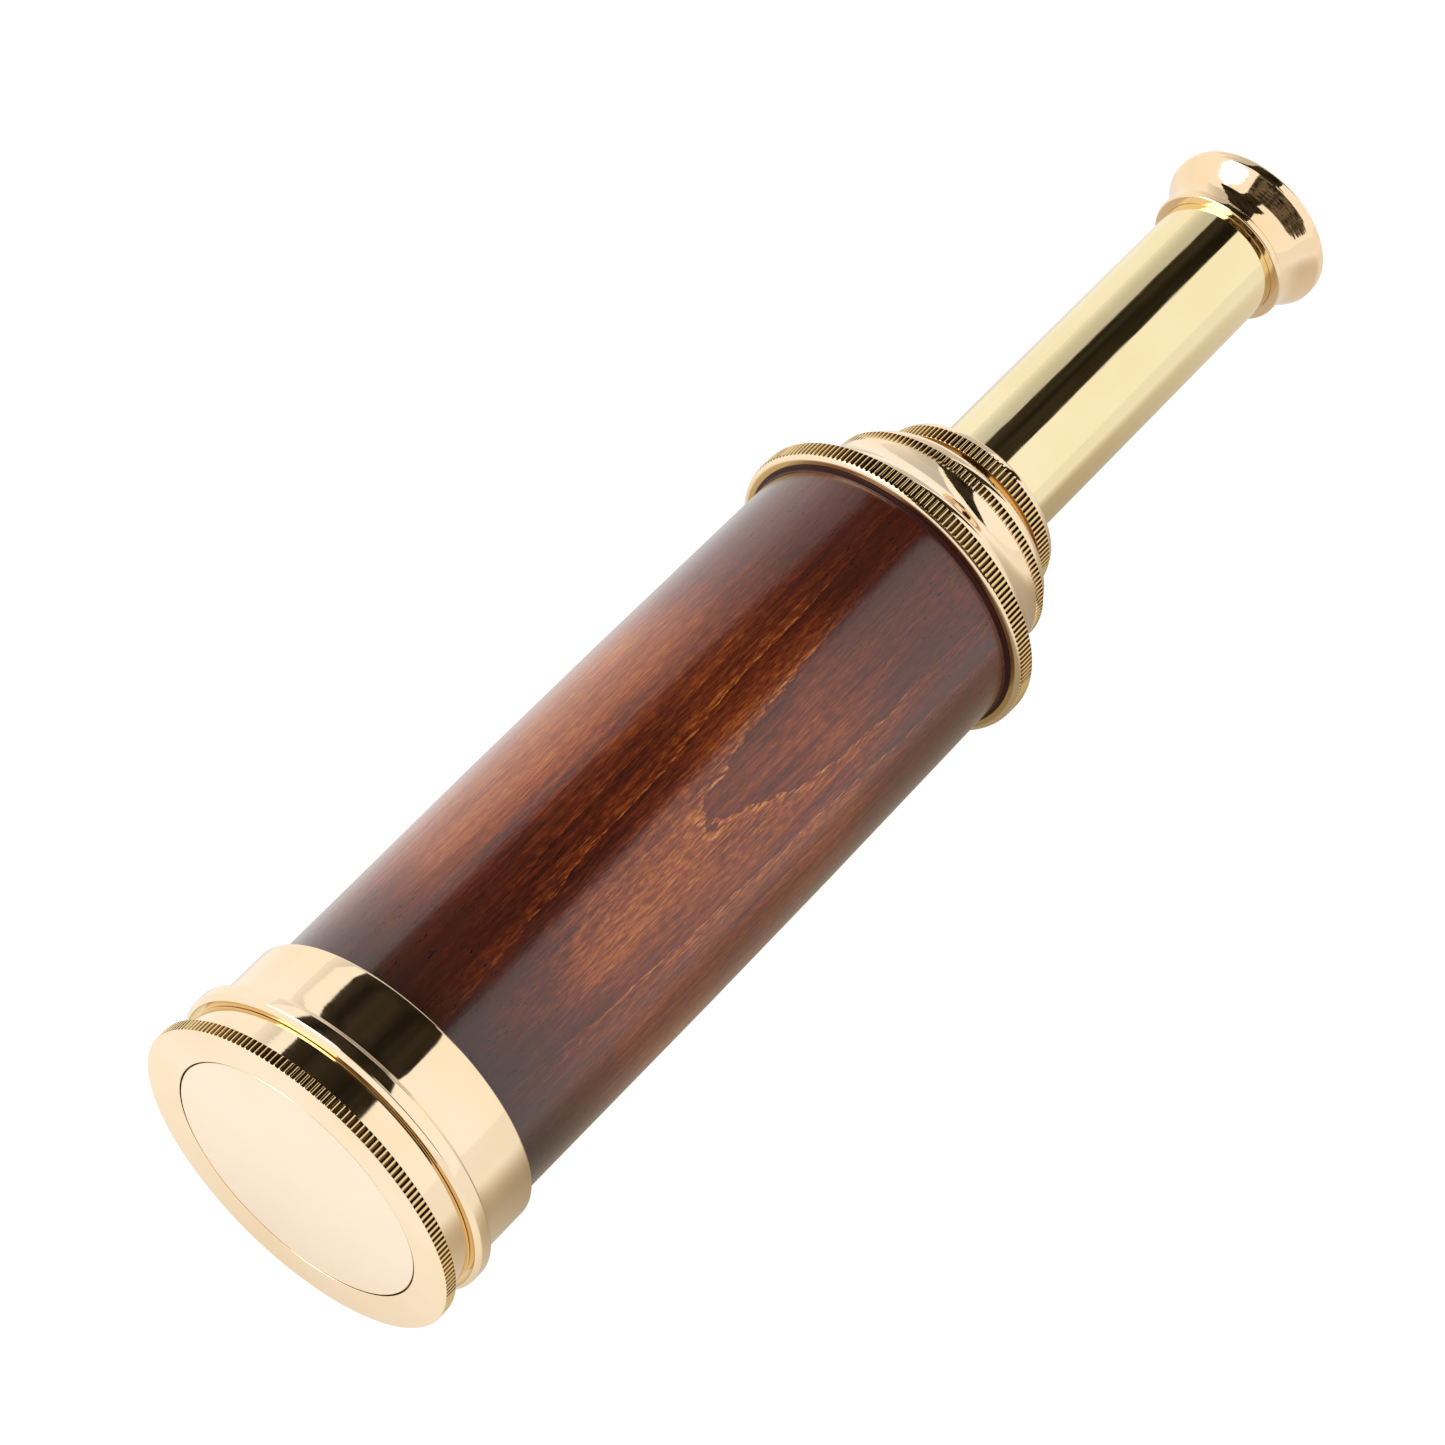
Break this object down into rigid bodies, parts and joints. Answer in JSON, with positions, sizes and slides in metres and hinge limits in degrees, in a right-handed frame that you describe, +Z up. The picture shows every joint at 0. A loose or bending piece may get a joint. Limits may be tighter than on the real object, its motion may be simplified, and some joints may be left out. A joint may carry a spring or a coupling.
{
  "type": "kaleidoscope",
  "caption": "Telescoping hand-held kaleidoscope: turned wooden barrel, knurled brass fittings, turning object cell, push-on dust cap and a draw tube with an eyepiece.",
  "frame": {"origin": "centre of the dust cap's flat front face, on the optical axis", "axes": "+Y along the optical axis from the dust cap towards the eyepiece, +Z up with the object lying on its side, +X completes the right-handed frame"},
  "size_m": [0.06, 0.2526, 0.06],
  "materials": {
    "polished_brass": "high polish, turned, knurled edges",
    "drawn_brass": "polished drawn tube with fine lengthwise scratches",
    "turned_brass": "satin, as turned",
    "spring_steel": "bright spring wire",
    "stained_wood": "dark red-brown stain under satin-gloss lacquer",
    "black_board": "matt black pressed board",
    "black_plastic": "matt black",
    "blackened_metal": "matt black anodised",
    "mirror": "front-silvered glass",
    "grey_foam": "open-cell foam",
    "green_felt": "dense wool felt",
    "frosted_glass": "ground one side",
    "clear_glass": "clear polished",
    "red_glass": "clear coloured",
    "amber_glass": "clear coloured",
    "green_glass": "clear coloured",
    "blue_glass": "clear coloured",
    "violet_glass": "clear coloured"
  },
  "bodies": {
    "barrel": {"wood_barrel": "stained_wood", "front_ferrule": "polished_brass", "cell_bearing_bush": "turned_brass", "mirror_front_support": "black_board", "mirror_rear_support": "black_board", "mirror_tube": "black_board", "mirror_top": "mirror", "mirror_left": "mirror", "mirror_right": "mirror", "mirror_packing": "grey_foam", "barrel_end_ring": "polished_brass", "shoulder_dome": "polished_brass", "guide_collar": "polished_brass", "guide_sleeve": "turned_brass", "friction_felt": "green_felt"},
    "object_cell": {"cell_ring": "turned_brass", "cell_retaining_ring": "turned_brass", "cell_frosted_glass": "frosted_glass", "cell_spacer_ring": "black_plastic", "cell_clear_glass": "clear_glass", "cell_snap_ring": "spring_steel", "glass_chips_red": "red_glass", "glass_chips_amber": "amber_glass", "glass_chips_green": "green_glass", "glass_chips_blue": "blue_glass", "glass_chips_violet": "violet_glass"},
    "dust_cap": {"cap_ring": "polished_brass", "cap_disc": "polished_brass"},
    "tube_slide": {"tube_stop_ring": "spring_steel"},
    "draw_tube": {"draw_tube": "drawn_brass", "eyepiece_cup": "polished_brass", "eye_lens_retainer": "blackened_metal", "eye_lens": "clear_glass", "eye_stop": "blackened_metal"}
  },
  "joints": [
    {"name": "cell_turn", "type": "hinge", "parent": "barrel", "child": "object_cell", "pos_m": [0, 0.018, 0], "axis": [0, 1, 0], "continuous": true},
    {"name": "cap_pull", "type": "slide", "parent": "barrel", "child": "dust_cap", "axis": [0, -1, 0], "range_m": [0, 0.03]},
    {"name": "tube_push", "type": "slide", "parent": "barrel", "child": "tube_slide", "axis": [0, -1, 0], "range_m": [0, 0.071]},
    {"name": "tube_turn", "type": "hinge", "parent": "tube_slide", "child": "draw_tube", "pos_m": [0, 0.141, 0], "axis": [0, 1, 0], "continuous": true}
  ]
}
